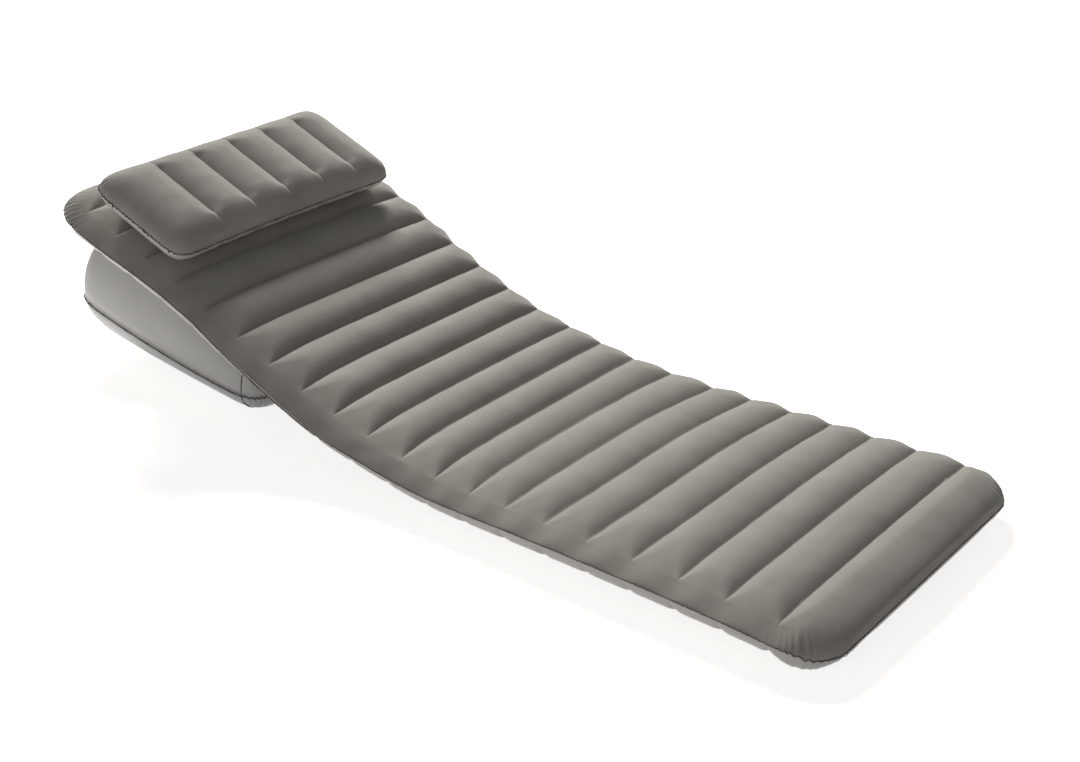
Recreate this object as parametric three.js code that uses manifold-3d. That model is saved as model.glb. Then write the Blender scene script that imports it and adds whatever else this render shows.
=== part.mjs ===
import * as THREE from 'three';
import { mergeVertices } from 'three/addons/utils/BufferGeometryUtils.js';
import Module from 'manifold-3d';

// Inflatable lounge bed: a channelled air mattress bent up over an air wedge, with an air pillow on its back.
// Millimetres, +Z up. The foot end points to +X, the head end to -X, and z = 0 is the floor.

const wasm = await Module();
wasm.setup();

const degree = Math.PI / 180;

// Sheet stock and clearances
const sheetThickness = 0.5;
const webThickness = 0.4;
const seamGap = 0.3;
const fitGap = 0.3;
const floorCut = 0.5;

// Mattress: welded across by webs, so that creases part it into channels
const mattressWidth = 724;
const mattressWaist = 12;
const creaseCount = 20;
const creasePitch = 90;
const footMargin = 104;
const headMargin = 78;
const mattressWebHeight = 52;
const mattressRise = 20;
const mattressReach = 95;
const mattressTip = 30;

// Where the mattress bends: two creases, and how far each turns the rest of it up
const firstBendCrease = 9;
const secondBendCrease = 12;
const firstBendAngle = 10.5 * degree;
const secondBendAngle = 11.3 * degree;

// Wedge under the back
const wedgeWidth = 520;
const wedgeWaist = 6;
const wedgeLength = 560;
const wedgeStart = 250;
const wedgeWebs = 4;
const wedgeRise = 9;
const wedgeReach = 130;
const wedgeTip = 60;
const wedgeSeamShare = 0.35;

// Pillow on the back
const pillowLength = 613;
const pillowWidth = 278;
const pillowWaist = 14;
const pillowWebs = 5;
const pillowPitch = 97;
const pillowNearMargin = 125;
const pillowHeight = 88;
const pillowRise = 16;
const pillowReach = 62;
const pillowTip = 30;
const pillowDistance = 593;
const pillowOffset = -20;
const pillowYaw = 1 * degree;

// How the sheets swell: exponents of the corner outline, of the edge and of the crown between two creases
const cornerPower = 4.3;
const flocked = {
  sign: 1,
  domePower: 2,
  bulgePower: 2,
  channelShares: [0.22, 0.5, 0.78],
  marginShares: [0.5, 0.22],
  endShares: [0, 0.012, 0.05, 0.14, 0.28],
  columnShares: [0, 0.04, 0.2, 0.48, 1],
};
const plain = {
  sign: -1,
  domePower: 6,
  bulgePower: 3,
  channelShares: [0.36, 0.64],
  marginShares: [0.36],
  endShares: [0, 0.012, 0.07, 0.25],
  columnShares: [0, 0.12, 0.68],
};
const plainLoose = { ...plain, domePower: 3, columnShares: [0, 0.12, 0.5, 1] };
const plainLooseTop = { ...plainLoose, sign: 1 };

// How much of a web's height each of its cut corners takes
const webCornerShare = 0.25;

// Valves: the bore and the collar round it lead, and the rest stands off them
const valve = {
  boreRadius: 5.4,
  depth: 6,
  tubeWall: 1.6,
  lipWidth: 1.6,
  lipHeight: 1.6,
  collarWall: 3.1,
  collarHeight: 3.2,
  flangeWidth: 4.5,
  flangeThickness: 1.2,
  proud: 0.5,
  capOverhang: 0.3,
  capHeight: 1.6,
  plugGap: 0.5,
  plugTaper: 0.6,
  plugLength: 2.6,
  strapWidth: 5,
  strapReach: 3.1,
  beadRadius: 1,
  flapLap: 2.6,
  flapHeight: 0.8,
  sides: 24,
  beadSteps: 8,
};
const collarRadius = valve.boreRadius + valve.collarWall;
const flangeRadius = collarRadius + valve.flangeWidth;
const lipRadius = valve.boreRadius - valve.lipWidth;
const mattressValveChannel = 17;
const pillowValveChannel = 4;
const wedgeValveOffset = 110;

// Finishes
const flockColour = 0x6e6a64;
const sheetColour = 0xb2afaa;
const webColour = 0xc4c2bd;
const valveColour = 0x8e8c88;
const clothLook = { roughness: 0.95, metalness: 0 };
const vinylLook = { roughness: 0.45, metalness: 0 };

/** One air chamber: its outline, its creases and how high its two sheets stand off the seam. */
class AirPad {
  constructor({ length, width, waist, reach, tip, creases, span, rise, top, bottom }) {
    Object.assign(this, { length, width, waist, reach, tip, creases, span, rise, top, bottom });
  }

  /** Half the width at u, drawn in between the corners. */
  halfWidth(u) {
    const across = (2 * u) / this.length - 1;
    return this.width / 2 - this.waist * (1 - across * across);
  }

  /** How far the rounded corner takes the outline in at u. */
  cornerInset(u) {
    const near = Math.max(0, 1 - Math.min(u, this.length - u) / this.reach);
    return this.reach * (1 - (1 - near ** cornerPower) ** (1 / cornerPower));
  }

  /** Full height of a sheet off the seam, on a crown far from the edge. */
  full(u, side) {
    return side.sign > 0 ? this.top(u) : this.bottom(u);
  }

  /** Height of a sheet on a crease. */
  creaseHeight(u, side) {
    return this.full(u, side) - this.rise;
  }

  /** 0 on a crease, 1 on a crown. */
  bulge(u, side) {
    const nearest = Math.min(...this.creases.map((crease) => Math.abs(crease - u)));
    const share = Math.min(1, nearest / (this.span / 2));
    return 1 - (1 - share) ** side.bulgePower;
  }

  /** Height of a sheet off the seam at (u, v). */
  height(u, v, side) {
    const fromSide = Math.max(0, 1 - (this.halfWidth(u) - Math.abs(v)) / this.reach);
    const fromEnd = Math.max(0, 1 - Math.min(u, this.length - u) / this.reach);
    const edge = Math.min(1, (fromSide ** cornerPower + fromEnd ** cornerPower) ** (1 / cornerPower));
    const full = this.full(u, side);
    const dome = full * Math.sqrt(1 - edge ** side.domePower);
    const pinched = Math.min(dome, this.creaseHeight(u, side));
    return Math.min(pinched + (dome - pinched) * this.bulge(u, side), full - floorCut);
  }
}

/** Rows of a sheet across its creases, between two cuts: where they lie and where they are measured. */
function rowsOf(pad, side, from, to) {
  const marks = [0, ...pad.creases, pad.length].filter((mark) => mark >= from && mark <= to);
  const places = [];
  marks.slice(0, -1).forEach((start, index) => {
    const end = marks[index + 1];
    if (start === 0) {
      side.endShares.forEach((share) => places.push(share * pad.reach));
      side.marginShares.forEach((share) => places.push(end - share * pad.span));
    } else if (end === pad.length) {
      places.push(start);
      side.marginShares.toReversed().forEach((share) => places.push(start + share * pad.span));
      side.endShares.toReversed().forEach((share) => places.push(end - share * pad.reach));
    } else {
      places.push(start);
      side.channelShares.forEach((share) => places.push(start + share * (end - start)));
    }
  });
  if (to < pad.length) {
    places.push(to);
  }
  return places.map((at) => {
    const trimmed = at === from && from > 0 ? at + seamGap / 2 : at;
    return { at, u: at === to && to < pad.length ? at - seamGap / 2 : trimmed };
  });
}

/** Columns along the creases as shares of the half width, from one side seam to the other. */
function columnsOf(pad, side) {
  const half = side.columnShares.map((share) => 1 - (share * pad.reach) / (pad.width / 2));
  return [...half, ...half.toReversed().map((share) => -share)];
}

/** A closed geometry from corners and faces, with its faces turned out. */
function solidOf(corners, faces) {
  const geometry = new THREE.BufferGeometry();
  geometry.setAttribute('position', new THREE.Float32BufferAttribute(corners.flatMap((p) => p.toArray()), 3));
  geometry.setIndex(faces.flat());
  return facedOut(geometry);
}

/** Turns every face of a closed geometry round where its volume comes out negative. */
function facedOut(geometry) {
  const position = geometry.getAttribute('position');
  const index = geometry.getIndex().array;
  const corner = (k) => new THREE.Vector3().fromBufferAttribute(position, index[k]);
  let volume = 0;
  for (let k = 0; k < index.length; k += 3) {
    volume += corner(k).dot(corner(k + 1).cross(corner(k + 2)));
  }
  if (volume < 0) {
    for (let k = 0; k < index.length; k += 3) {
      [index[k], index[k + 1]] = [index[k + 1], index[k]];
    }
  }
  return geometry;
}

/** One swollen sheet of a pad between two cuts: an outer and an inner skin closed along the rim. */
function sheetGeometry(pad, side, from, to, place) {
  const rows = rowsOf(pad, side, from, to);
  const columns = columnsOf(pad, side);
  const across = columns.length;
  const layer = rows.length * across;
  const outer = [];
  const inner = [];
  rows.forEach(({ at, u }, i) => {
    const half = pad.halfWidth(at) - pad.cornerInset(at);
    columns.forEach((share, j) => {
      const v = half * share;
      const w = seamGap / 2 + pad.height(at, v, side);
      const onSeam = j === 0 || j === across - 1 || at === 0 || at === pad.length;
      const depth = onSeam ? w : w - sheetThickness;
      const along = from === 0 && i === 0 ? sheetThickness : 0;
      const back = to === pad.length && i === rows.length - 1 ? sheetThickness : 0;
      const taken = v * (1 - sheetThickness / half);
      outer.push(place(u, v, side.sign * w));
      inner.push(place(u + along - back, taken, side.sign * depth));
    });
  });
  const faces = [];
  const quad = (a, b, c, d) => faces.push([a, b, c], [a, c, d]);
  for (let i = 0; i + 1 < rows.length; i += 1) {
    for (let j = 0; j + 1 < across; j += 1) {
      const a = i * across + j;
      const b = a + across;
      quad(a, b, b + 1, a + 1);
      quad(layer + a, layer + a + 1, layer + b + 1, layer + b);
    }
    const first = i * across;
    const last = first + across - 1;
    quad(first + across, first, layer + first, layer + first + across);
    quad(last, last + across, layer + last + across, layer + last);
  }
  for (let j = 0; j + 1 < across; j += 1) {
    const last = layer - across + j;
    quad(j, j + 1, layer + j + 1, layer + j);
    quad(last + 1, last, layer + last, layer + last + 1);
  }
  return solidOf([...outer, ...inner], faces);
}

/** The tension web under a crease: a strip with cut corners, standing on the crease plane of both sheets. */
function webGeometry(pad, u) {
  const trim = sheetThickness + fitGap;
  const high = pad.creaseHeight(u, flocked) - trim;
  const low = trim - pad.creaseHeight(u, plain);
  const reach = pad.halfWidth(u) - pad.tip;
  const corner = webCornerShare * (high - low);
  const outline = new THREE.Shape();
  outline.moveTo(-reach, low + corner);
  outline.lineTo(corner - reach, low);
  outline.lineTo(reach - corner, low);
  outline.lineTo(reach, low + corner);
  outline.lineTo(reach, high - corner);
  outline.lineTo(reach - corner, high);
  outline.lineTo(corner - reach, high);
  outline.lineTo(-reach, high - corner);
  outline.closePath();
  const strip = new THREE.ExtrudeGeometry(outline, { depth: webThickness, bevelEnabled: false });
  return strip.translate(0, 0, -webThickness / 2);
}

/** A geometry as a solid for joins and cuts. */
function toSolid(geometry) {
  const bare = geometry.clone();
  bare.deleteAttribute('normal');
  bare.deleteAttribute('uv');
  const merged = mergeVertices(bare);
  return new wasm.Manifold(
    new wasm.Mesh({
      numProp: 3,
      vertProperties: new Float32Array(merged.getAttribute('position').array),
      triVerts: new Uint32Array(merged.getIndex().array),
    }),
  );
}

/** A joined or cut solid as a geometry. */
function toGeometry(solid) {
  const { vertProperties, triVerts } = solid.getMesh();
  const geometry = new THREE.BufferGeometry();
  geometry.setAttribute('position', new THREE.BufferAttribute(vertProperties, 3));
  geometry.setIndex(new THREE.BufferAttribute(triVerts, 1));
  return geometry;
}

/** A named mesh with its finish. */
function piece(name, geometry, color, look) {
  const mesh = new THREE.Mesh(geometry, new THREE.MeshStandardMaterial({ color, ...look }));
  mesh.name = name;
  return mesh;
}

/** A turned piece about +Z from radii and heights. */
function turned(profile) {
  const outline = [...profile, profile[0]].map(([radius, height]) => new THREE.Vector2(radius, height));
  const lathe = new THREE.LatheGeometry(outline, valve.sides).rotateX(Math.PI / 2);
  const bare = new THREE.BufferGeometry();
  bare.setAttribute('position', lathe.getAttribute('position'));
  bare.setIndex(lathe.getIndex());
  return facedOut(mergeVertices(bare));
}

/** Where a valve sits, on the facet between two rows and two columns: +Z outwards, +X to its strap. */
function valveSeat(pad, side, rows, columns, place, strapWay) {
  const point = (u, v) => place(u, v, side.sign * (seamGap / 2 + pad.height(u, v, side)));
  const [a, b] = rows.map((u) => point(u, columns[0]));
  const [c, d] = rows.map((u) => point(u, columns[1]));
  const origin = a.clone().add(b).add(c).add(d).multiplyScalar(1 / 4);
  const out = d.clone().sub(a).cross(c.clone().sub(b)).normalize();
  out.multiplyScalar(out.dot(strapWay.off) < 0 ? -1 : 1);
  const ahead = strapWay.to.clone().addScaledVector(out, -strapWay.to.dot(out)).normalize();
  const seat = new THREE.Matrix4().makeBasis(ahead, out.clone().cross(ahead), out);
  return seat.setPosition(origin.addScaledVector(out, valve.proud));
}

/** Where a valve sits low on the side wall, in the channel after the numbered crease. */
function sideSeat(pad, channel, place, strapWay) {
  const rows = plain.channelShares.map((share) => pad.creases[channel - 1] + share * pad.span);
  const edge = pad.halfWidth(rows[0]);
  return valveSeat(pad, plain, rows, [edge, edge - plain.columnShares[1] * pad.reach], place, strapWay);
}

/** Cuts the hole that a valve's flange fills. */
function cutForValve(geometry, seat) {
  const radius = flangeRadius + fitGap;
  const depth = 2 * valve.depth;
  const bit = new THREE.CylinderGeometry(radius, radius, depth, valve.sides).rotateX(Math.PI / 2);
  return toGeometry(toSolid(geometry).subtract(toSolid(bit.applyMatrix4(seat))));
}

/** A valve's moulded body: a flange in the sheet, a collar outside and a tube with a lip inside. */
function valveBody() {
  const { boreRadius, depth, lipHeight, collarHeight, flangeThickness } = valve;
  const tubeRadius = boreRadius + valve.tubeWall;
  return turned([
    [lipRadius, -depth],
    [tubeRadius, -depth],
    [tubeRadius, -flangeThickness],
    [flangeRadius, -flangeThickness],
    [flangeRadius, 0],
    [collarRadius, 0],
    [collarRadius, collarHeight],
    [boreRadius, collarHeight],
    [boreRadius, lipHeight - depth],
    [lipRadius, lipHeight - depth],
  ]);
}

/** The cap with its plug, on a strap that ends in a bead beside the collar. */
function valveCap() {
  const { capHeight, plugLength, strapWidth, beadRadius, beadSteps } = valve;
  const low = valve.collarHeight + fitGap;
  const capRadius = collarRadius + valve.capOverhang;
  const plugRadius = valve.boreRadius - valve.plugGap;
  const strapHinge = collarRadius + valve.strapReach;
  const disc = turned([
    [0, low - plugLength],
    [plugRadius - valve.plugTaper, low - plugLength],
    [plugRadius, low],
    [capRadius, low],
    [capRadius, low + capHeight],
    [0, low + capHeight],
  ]);
  const beadHeight = beadRadius + fitGap;
  const root = capRadius - beadRadius;
  const side = new THREE.Shape();
  side.moveTo(root, low + capHeight);
  side.lineTo(root, low);
  side.lineTo(capRadius, low);
  side.lineTo(strapHinge - beadRadius, beadHeight);
  side.absarc(strapHinge, beadHeight, beadRadius, -Math.PI, Math.PI / 2, false);
  side.lineTo(capRadius, low + capHeight);
  side.closePath();
  const extrusion = { depth: strapWidth, bevelEnabled: false, curveSegments: beadSteps };
  const strap = new THREE.ExtrudeGeometry(side, extrusion);
  strap.translate(0, 0, -strapWidth / 2).rotateX(Math.PI / 2);
  return toGeometry(toSolid(disc).add(toSolid(strap)));
}

/** The soft flap that air pressure shuts against the lip. */
function valveFlap() {
  const { depth, flapHeight } = valve;
  const flapRadius = lipRadius + valve.flapLap;
  const top = -depth - fitGap;
  return turned([
    [0, top - flapHeight],
    [flapRadius, top - flapHeight],
    [flapRadius, top],
    [0, top],
  ]);
}

/** The three pieces of a valve on its seat. */
function valveOn(name, seat) {
  const group = new THREE.Group();
  group.add(piece(`${name}_valve_body`, valveBody(), valveColour, vinylLook));
  group.add(piece(`${name}_valve_cap`, valveCap(), valveColour, vinylLook));
  group.add(piece(`${name}_valve_flap`, valveFlap(), valveColour, vinylLook));
  group.applyMatrix4(seat);
  return group;
}

/** The name of one of several like webs. */
function webName(prefix, index, count) {
  return `${prefix}_web_${String(index + 1).padStart(String(count).length, '0')}`;
}

/** Places of creases that share one pitch, from the first on. */
function evenCreases(first, count, pitch) {
  return Array.from({ length: count }, (_, index) => first + index * pitch);
}

const mattressHalf = mattressWebHeight / 2 + mattressRise;
const mattress = new AirPad({
  length: footMargin + (creaseCount - 1) * creasePitch + headMargin,
  width: mattressWidth,
  waist: mattressWaist,
  reach: mattressReach,
  tip: mattressTip,
  creases: evenCreases(footMargin, creaseCount, creasePitch),
  span: creasePitch,
  rise: mattressRise,
  top: () => mattressHalf,
  bottom: () => mattressHalf,
});

// The mattress's sections, each in the frame of the bottom crease that it turns about
const pivotHeight = mattressRise - floorCut + seamGap / 2;
const firstBend = { u: mattress.creases[firstBendCrease - 1], angle: firstBendAngle };
const secondBend = { u: mattress.creases[secondBendCrease - 1], angle: secondBendAngle };

/** Places a point of a section, squeezed along the top beside a bend. */
function sectionPlace(from, bendBefore, bendAfter) {
  const squeeze = (u, bend) => {
    const near = bend ? Math.max(0, 1 - Math.abs(u - bend.u) / creasePitch) : 0;
    return near * near * (bend ? Math.tan(bend.angle / 2) : 0);
  };
  return (u, v, w) => {
    const up = w + mattressWebHeight / 2;
    return new THREE.Vector3(from - u + up * (squeeze(u, bendAfter) - squeeze(u, bendBefore)), v, up);
  };
}

/** Adds the webs of a section, the ones at its bends leaning with the cut. */
function addWebs(group, from, first, last, bendAfter) {
  for (let index = first; index < last; index += 1) {
    const u = mattress.creases[index];
    const atCut = bendAfter !== undefined && u === bendAfter.u;
    const strip = webGeometry(mattress, u).translate(0, mattressWebHeight / 2, 0);
    const web = piece(webName('mattress', index, creaseCount), strip, webColour, vinylLook);
    web.position.x = from - u + (atCut ? seamGap / 2 + webThickness : 0);
    web.rotation.set(Math.PI / 2, 0, Math.PI / 2, 'ZYX');
    const stand = new THREE.Group();
    stand.add(web);
    if (atCut) {
      leanAbout(stand, web.position.x, bendAfter.angle / 2);
    }
    group.add(stand);
  }
}

/** Leans a group about a line across the mattress at height 0. */
function leanAbout(group, x, angle) {
  group.position.set(x - x * Math.cos(angle), 0, x * Math.sin(angle));
  group.rotation.y = angle;
}

/** Both sheets and the webs of one section of the mattress. */
function mattressSection(name, from, to, bendBefore, bendAfter, seat) {
  const group = new THREE.Group();
  const place = sectionPlace(from, bendBefore, bendAfter);
  const top = sheetGeometry(mattress, flocked, from, to, place);
  const bottom = sheetGeometry(mattress, plain, from, to, place);
  const cut = seat ? cutForValve(bottom, seat) : bottom;
  group.add(piece(`${name}_top_sheet`, top, flockColour, clothLook));
  group.add(piece(`${name}_bottom_sheet`, cut, sheetColour, vinylLook));
  return group;
}

/** The flat part, where the legs and the seat lie. */
function seatSection() {
  const group = mattressSection('seat', 0, firstBend.u, undefined, firstBend);
  addWebs(group, 0, 0, firstBendCrease, firstBend);
  return group;
}

/** The short part between the two bends. */
function bendSection() {
  const group = mattressSection('bend', firstBend.u, secondBend.u, firstBend, secondBend);
  addWebs(group, firstBend.u, firstBendCrease, secondBendCrease, secondBend);
  return group;
}

/** The part that leans on the wedge, with the mattress's valve in its far side near the head. */
function backSection() {
  const from = secondBend.u;
  const place = sectionPlace(from, secondBend, undefined);
  const way = { off: new THREE.Vector3(0, 1, 0), to: new THREE.Vector3(-1, 0, 0) };
  const seat = sideSeat(mattress, mattressValveChannel, place, way);
  const group = mattressSection('back', from, mattress.length, secondBend, undefined, seat);
  addWebs(group, from, secondBendCrease, creaseCount, undefined);
  group.add(valveOn('mattress', seat));
  return group;
}

/** The pillow, lying on the crowns of the back, its channels running up the slope. */
function pillow() {
  const half = pillowHeight / 2;
  const pad = new AirPad({
    length: pillowLength,
    width: pillowWidth,
    waist: pillowWaist,
    reach: pillowReach,
    tip: pillowTip,
    creases: evenCreases(pillowNearMargin, pillowWebs, pillowPitch),
    span: pillowPitch,
    rise: pillowRise,
    top: () => half,
    bottom: () => half,
  });
  const place = (u, v, w) => new THREE.Vector3(-v, u - pad.length / 2, w);
  const group = new THREE.Group();
  const way = { off: new THREE.Vector3(-1, 0, 0), to: new THREE.Vector3(0, 1, 0) };
  const seat = sideSeat(pad, pillowValveChannel, place, way);
  const top = sheetGeometry(pad, flocked, 0, pad.length, place);
  const bottom = cutForValve(sheetGeometry(pad, plain, 0, pad.length, place), seat);
  group.add(piece('pillow_top_sheet', top, flockColour, clothLook));
  group.add(piece('pillow_bottom_sheet', bottom, sheetColour, vinylLook));
  pad.creases.forEach((crease, index) => {
    const web = piece(webName('pillow', index, pillowWebs), webGeometry(pad, crease), webColour, vinylLook);
    web.position.y = crease - pad.length / 2;
    web.rotation.x = Math.PI / 2;
    group.add(web);
  });
  group.add(valveOn('pillow', seat));
  const crown = mattress.height(mattress.creases[creaseCount - 1] - creasePitch / 2, 0, flocked);
  const lift = mattressWebHeight / 2 + crown + seamGap / 2;
  group.position.set(-pillowDistance, pillowOffset, lift + fitGap + seamGap / 2 + half - floorCut);
  group.rotation.z = pillowYaw;
  return group;
}

/** The wedge, its top lying just under the crowns of the back. */
function wedge() {
  const slope = firstBendAngle + secondBendAngle;
  const bendLength = secondBend.u - firstBend.u;
  const bendHeight = pivotHeight + bendLength * Math.sin(firstBendAngle);
  const below = (pivotHeight + fitGap) / Math.cos(slope);
  const ceiling = (u) => bendHeight - below + (wedgeStart + u) * Math.tan(slope);
  const bottom = (u) => wedgeSeamShare * ceiling(u) + floorCut;
  const seamHeight = (u) => bottom(u) - floorCut + seamGap / 2;
  const wedgeSpan = wedgeLength / (wedgeWebs + 1);
  const pad = new AirPad({
    length: wedgeLength,
    width: wedgeWidth,
    waist: wedgeWaist,
    reach: wedgeReach,
    tip: wedgeTip,
    creases: evenCreases(wedgeSpan, wedgeWebs, wedgeSpan),
    span: wedgeSpan,
    rise: wedgeRise,
    top: (u) => ceiling(u) - seamHeight(u) - seamGap / 2 + floorCut,
    bottom,
  });
  const place = (u, v, w) => new THREE.Vector3(-u, v, seamHeight(u) + w);
  const group = new THREE.Group();
  const rows = plain.endShares.slice(-2).map((share) => pad.length - share * pad.reach);
  const columns = [wedgeValveOffset - valve.boreRadius, wedgeValveOffset + valve.boreRadius];
  const way = { off: new THREE.Vector3(-1, 0, 0), to: new THREE.Vector3(0, 0, 1) };
  const seat = valveSeat(pad, plainLoose, rows, columns, place, way);
  const upper = sheetGeometry(pad, plainLooseTop, 0, pad.length, place);
  const lower = cutForValve(sheetGeometry(pad, plainLoose, 0, pad.length, place), seat);
  group.add(piece('wedge_top_sheet', upper, sheetColour, vinylLook));
  group.add(piece('wedge_bottom_sheet', lower, sheetColour, vinylLook));
  pad.creases.forEach((crease, index) => {
    const web = piece(webName('wedge', index, wedgeWebs), webGeometry(pad, crease), webColour, vinylLook);
    web.position.set(-crease, 0, seamHeight(crease));
    web.rotation.set(Math.PI / 2, 0, Math.PI / 2, 'ZYX');
    group.add(web);
  });
  group.add(valveOn('wedge', seat));
  group.position.x = -firstBend.u - bendLength * Math.cos(firstBendAngle) - wedgeStart;
  return { group, end: group.position.x - wedgeLength };
}

/** The whole bed, with its origin under the middle of its box. */
function bed() {
  const all = new THREE.Group();
  const seat = seatSection();
  const bend = bendSection();
  const back = backSection();
  const support = wedge();
  seat.position.z = pivotHeight;
  bend.position.x = -firstBend.u;
  bend.rotation.y = firstBendAngle;
  back.position.x = firstBend.u - secondBend.u;
  back.rotation.y = secondBendAngle;
  back.add(pillow());
  bend.add(back);
  seat.add(bend);
  all.add(seat, support.group);
  all.position.x = -support.end / 2;
  return all;
}

export default bed();
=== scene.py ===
"""Inflatable bed: a channelled air mattress bent up over an air wedge, with an air pillow on its back.

The shapes are worked out in millimetres and turned into metres where a mesh is made.
"""

import logging
import math
from collections.abc import Callable, Sequence
from dataclasses import dataclass, replace
from enum import Enum
from typing import Optional

import bpy
import numpy as np
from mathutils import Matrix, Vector


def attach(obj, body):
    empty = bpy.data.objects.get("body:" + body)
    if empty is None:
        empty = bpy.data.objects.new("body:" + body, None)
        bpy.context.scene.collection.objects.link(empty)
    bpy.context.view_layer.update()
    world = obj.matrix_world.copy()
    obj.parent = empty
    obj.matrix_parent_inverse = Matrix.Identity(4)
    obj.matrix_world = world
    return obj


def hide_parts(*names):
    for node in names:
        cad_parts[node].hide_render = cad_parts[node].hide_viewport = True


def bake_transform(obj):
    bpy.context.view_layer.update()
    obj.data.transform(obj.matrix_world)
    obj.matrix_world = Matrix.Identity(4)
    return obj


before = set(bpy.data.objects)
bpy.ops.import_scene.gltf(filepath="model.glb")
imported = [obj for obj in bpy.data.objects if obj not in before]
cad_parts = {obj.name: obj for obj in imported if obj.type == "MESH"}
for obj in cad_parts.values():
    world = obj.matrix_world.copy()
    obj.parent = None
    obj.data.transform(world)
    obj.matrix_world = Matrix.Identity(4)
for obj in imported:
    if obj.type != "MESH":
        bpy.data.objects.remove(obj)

log = logging.getLogger("lounge_bed")

MM = 0.001

# Noise: how many waves add up to it, and how high their sum usually stands.
ROUGH_WAVES = 14
ROUGH_HEIGHT = 4.2

# Grid cells, in millimetres: at a seam, at a crease and along the strip of a seam.
SEAM_CELL = 0.5
CREASE_CELL = 1.0
STRIP_STEP = 1.8

# Sheets, in millimetres. The near side's sizes turn into the far side's within the middle band, and
# creases have their inner depth from the inner reach on.
SHEET_THICKNESS = 0.8
MIDDLE_BAND = 60.0
INNER_REACH = 130.0
NARROWEST_FOLD = 3.0
BOW_FADE = 90.0

# Distances along a seam: a corner's length in reaches, and what sets the far side's and the head's
# gathers off from the others.
CORNER_SEAM = 1.75
FAR_SHIFT = 700.0
HEAD_SHIFT = 1900.0

Array = np.ndarray
Place = Callable[[Array, Array, Array], Array]
Surface = Callable[[Array, Array], Array]


class Side(Enum):
    """Which sheet of an air chamber."""

    TOP = 1
    BOTTOM = -1


# Meshes


def smoothstep(value: Array, low: float, high: float) -> Array:
    """Return 0 below low, 1 above high and a smooth ramp between them."""
    share = np.clip((value - low) / (high - low), 0.0, 1.0)
    return share * share * (3.0 - 2.0 * share)


def waves(along: Array, length: float, seed: float) -> Array:
    """Return an uneven wave between about -1 and 1.

    Args:
        along: Distances along a seam, in millimetres.
        length: The usual length of one wave.
        seed: Shifts the wave, so that two seams differ.

    Returns:
        The wave at each distance.
    """
    turn = 2.0 * math.pi / length
    drift = 1.1 * np.sin(along * turn / 5.3 + seed) + 0.7 * np.sin(along * turn / 2.9 + 2.3 * seed)
    beat = 0.62 + 0.38 * np.sin(along * turn / 7.7 + 1.7 * seed)
    return beat * np.sin(along * turn + drift + 3.1 * seed)


def rough(points: Array, size: float, seed: int) -> Array:
    """Return smooth noise between about -1 and 1, the same on every run.

    Args:
        points: Places in millimetres, one row each.
        size: The rough size of one lump, in millimetres.
        seed: Chooses the noise.

    Returns:
        One value for each place.
    """
    random = np.random.default_rng(seed)
    total = np.zeros(len(points))
    for _ in range(ROUGH_WAVES):
        way = random.normal(size=points.shape[1])
        way *= 2.0 * math.pi / (size * (0.6 + random.random())) / np.linalg.norm(way)
        total += np.sin(points @ way + random.random() * 2.0 * math.pi)
    return total / ROUGH_HEIGHT


def mesh_object(name: str, points: Array, faces: Array) -> bpy.types.Object:
    """Make a smooth-shaded mesh object from points in millimetres.

    Args:
        name: The object's name.
        points: One row of three numbers for each vertex.
        faces: One row of four vertex numbers for each face.

    Returns:
        The new object, at the origin.
    """
    mesh = bpy.data.meshes.new(name)
    mesh.vertices.add(len(points))
    mesh.vertices.foreach_set("co", (points * MM).astype(np.float32).ravel())
    mesh.loops.add(faces.size)
    mesh.loops.foreach_set("vertex_index", faces.astype(np.int32).ravel())
    mesh.polygons.add(len(faces))
    mesh.polygons.foreach_set("loop_start", np.arange(len(faces), dtype=np.int32) * faces.shape[1])
    mesh.update(calc_edges=True)
    mesh.validate()
    mesh.polygons.foreach_set("use_smooth", np.ones(len(mesh.polygons), dtype=bool))
    piece = bpy.data.objects.new(name, mesh)
    bpy.context.scene.collection.objects.link(piece)
    return piece


def only(piece: bpy.types.Object) -> None:
    """Select this object alone and make it the active one.

    Args:
        piece: The object.
    """
    for other in bpy.context.selected_objects:
        other.select_set(False)
    piece.select_set(True)
    bpy.context.view_layer.objects.active = piece


def thicken(piece: bpy.types.Object) -> None:
    """Give an open sheet an inner wall and a rim, so that it is closed.

    Args:
        piece: The sheet, its faces turned outwards.
    """
    only(piece)
    wall = piece.modifiers.new("wall", "SOLIDIFY")
    wall.thickness = SHEET_THICKNESS * MM
    wall.offset = -1.0
    wall.use_even_offset = False
    bpy.ops.object.modifier_apply(modifier=wall.name)


def report(piece: bpy.types.Object) -> None:
    """Note a finished piece and how many faces it has."""
    log.info("%s: %d faces", piece.name, len(piece.data.polygons))


def grid_faces(rows: int, columns: int, flipped: bool) -> Array:
    """Return the four-sided faces of a grid of points.

    Args:
        rows: How many rows of points.
        columns: How many points in a row.
        flipped: Turns every face round.

    Returns:
        One row of four vertex numbers for each face.
    """
    corner = (np.arange(rows - 1)[:, None] * columns + np.arange(columns - 1)[None, :]).ravel()
    faces = np.stack([corner, corner + 1, corner + columns + 1, corner + columns], axis=1)
    return faces[:, ::-1] if flipped else faces


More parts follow.
